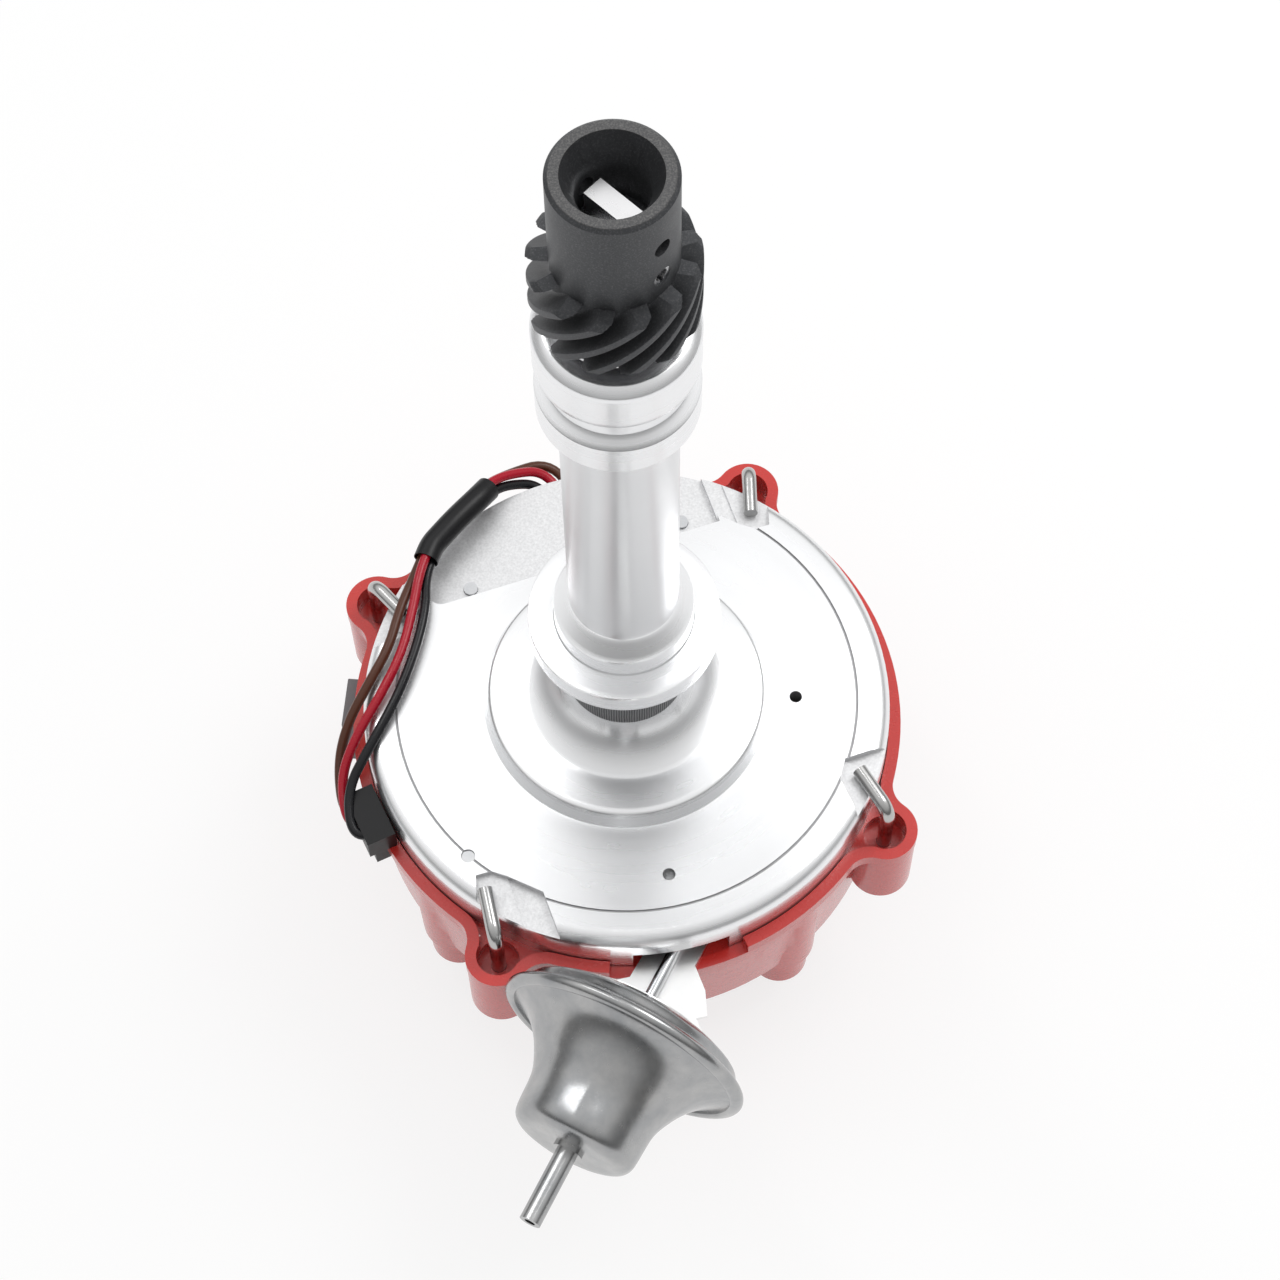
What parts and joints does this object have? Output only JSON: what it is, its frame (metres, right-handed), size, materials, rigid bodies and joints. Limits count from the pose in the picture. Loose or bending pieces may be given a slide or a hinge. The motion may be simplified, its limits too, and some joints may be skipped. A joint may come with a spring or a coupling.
{
  "type": "ignition distributor",
  "caption": "Engine ignition distributor: helical drive gear on a long shaft housing, round bowl, latched cap with towers and coil cover, vacuum canister and leads.",
  "frame": {"origin": "centre of the mounting collar's seating face, on the shaft axis", "axes": "+Z along the shaft towards the drive gear, +X to the right of the shown view, +Y away from it; the unit stands on its coil cover at -Z"},
  "size_m": [0.1568, 0.2202, 0.331],
  "materials": {
    "cast_aluminium": "turned and polished, with as-cast patches",
    "bronze": "sintered bronze",
    "felt": "oil-soaked felt",
    "steel": "ground",
    "gear_steel": "dark phosphated, machined",
    "washer_dark": "dark",
    "zinc_steel": "zinc plated",
    "zinc_latch": "bright zinc plated, mottled",
    "zinc_plate": "zinc plated sheet, mottled",
    "sintered_steel": "sintered",
    "spring_steel": "drawn wire",
    "magnet": "bonded ferrite",
    "coil_bobbin": "moulded bobbin",
    "rotor_plastic": "moulded",
    "brass": "stamped",
    "red_plastic": "glossy moulded, pigmented red",
    "terminal_aluminium": "turned",
    "carbon": "pressed carbon",
    "black_rubber": "moulded rubber",
    "laminated_iron": "stacked laminations",
    "potting": "potted resin",
    "cover_plastic": "glossy moulded, pigmented red",
    "grey_plastic": "moulded",
    "module_plastic": "moulded",
    "black_sleeve": "flexible sleeve",
    "black_plastic": "moulded",
    "lead_red": "glossy insulation",
    "lead_brown": "glossy insulation",
    "lead_black": "glossy insulation"
  },
  "bodies": {
    "body": {"housing": "cast_aluminium", "upper_bushing": "bronze", "lower_bushing": "bronze", "oil_felt": "felt", "thrust_washer": "washer_dark", "pickup_retainer": "zinc_steel", "cap": "red_plastic", "cap_terminals": "terminal_aluminium", "carbon_button": "carbon", "button_spring": "spring_steel", "coil_seal": "black_rubber", "coil_core": "laminated_iron", "coil_winding": "potting", "coil_screws": "zinc_steel", "coil_cover": "cover_plastic", "cover_screws": "zinc_steel", "terminal_block": "grey_plastic", "latch_springs": "spring_steel", "vacuum_bell": "zinc_plate", "vacuum_shell": "zinc_plate", "vacuum_nipple": "zinc_plate", "vacuum_bracket": "zinc_plate", "bracket_screws": "zinc_steel", "module": "module_plastic", "module_screws": "zinc_steel", "capacitor": "zinc_plate", "capacitor_screw": "zinc_steel", "lead_sleeve": "black_sleeve", "lead_plug": "black_plastic", "lead_grommet": "black_rubber", "lead_red": "lead_red", "lead_brown": "lead_brown", "lead_black": "lead_black"},
    "shaft": {"mainshaft": "steel", "drive_gear": "gear_steel", "gear_pin": "steel", "shim_washer": "steel", "cam_plate": "sintered_steel", "cam_retainer": "zinc_steel"},
    "timer": {"timer_core": "sintered_steel", "rotor": "rotor_plastic", "rotor_blade": "brass", "rotor_contact": "spring_steel", "rotor_screws": "zinc_steel", "advance_spring_a": "spring_steel", "advance_spring_b": "spring_steel"},
    "weight_one": {"weight_a": "sintered_steel"},
    "weight_two": {"weight_b": "sintered_steel"},
    "pickup": {"pickup_plate": "zinc_steel", "pickup_magnet": "magnet", "pickup_coil": "coil_bobbin", "pole_piece": "zinc_steel"},
    "vacuum_pull": {"vacuum_rod": "zinc_steel", "vacuum_diaphragm": "black_rubber", "vacuum_spring": "spring_steel"},
    "hook_back_right": {"latch_back_right": "zinc_latch"},
    "hook_left": {"latch_left": "zinc_latch"},
    "hook_front_left": {"latch_front_left": "zinc_latch"},
    "hook_right": {"latch_right": "zinc_latch"}
  },
  "joints": [
    {"name": "shaft_spin", "type": "hinge", "parent": "body", "child": "shaft", "pos_m": [0, 0, 0.1], "axis": [0, 0, 1], "continuous": true},
    {"name": "advance_turn", "type": "hinge", "parent": "shaft", "child": "timer", "pos_m": [0, 0, -0.07], "axis": [0, 0, 1], "range_deg": [0, 10], "stiffness_Nm_per_rad": 0.05, "springref_deg": -2.86},
    {"name": "weight_one_swing", "type": "hinge", "parent": "timer", "child": "weight_one", "pos_m": [0.027, 0, -0.0796], "axis": [0, 0, 1], "range_deg": [0, 15]},
    {"name": "weight_two_swing", "type": "hinge", "parent": "timer", "child": "weight_two", "pos_m": [-0.027, 0, -0.0796], "axis": [0, 0, 1], "range_deg": [0, 15]},
    {"name": "vacuum_pull_slide", "type": "slide", "parent": "body", "child": "vacuum_pull", "axis": [-0.4756, -0.8796, 0], "range_m": [0, 0.0045], "stiffness_N_per_m": 1500, "springref_m": -0.004},
    {"name": "pickup_turn", "type": "hinge", "parent": "body", "child": "pickup", "pos_m": [0, 0, -0.06], "axis": [0, 0, 1], "range_deg": [-6.2, 0]},
    {"name": "latch_back_right_turn", "type": "hinge", "parent": "body", "child": "hook_back_right", "pos_m": [0.03586, 0.06859, -0.07], "axis": [0, 0, 1], "range_deg": [-138, 0]},
    {"name": "latch_left_turn", "type": "hinge", "parent": "body", "child": "hook_left", "pos_m": [-0.06859, 0.03586, -0.07], "axis": [0, 0, 1], "range_deg": [-95, 0]},
    {"name": "latch_front_left_turn", "type": "hinge", "parent": "body", "child": "hook_front_left", "pos_m": [-0.03586, -0.06859, -0.07], "axis": [0, 0, 1], "range_deg": [-112, 0]},
    {"name": "latch_right_turn", "type": "hinge", "parent": "body", "child": "hook_right", "pos_m": [0.06859, -0.03586, -0.07], "axis": [0, 0, 1], "range_deg": [-85, 0]}
  ],
  "couplings": [
    {"joint": "weight_one_swing", "follows": "advance_turn", "ratio": 1.5},
    {"joint": "weight_two_swing", "follows": "advance_turn", "ratio": 1.5},
    {"joint": "pickup_turn", "follows": "vacuum_pull_slide", "rad_per_m": -23.7}
  ]
}
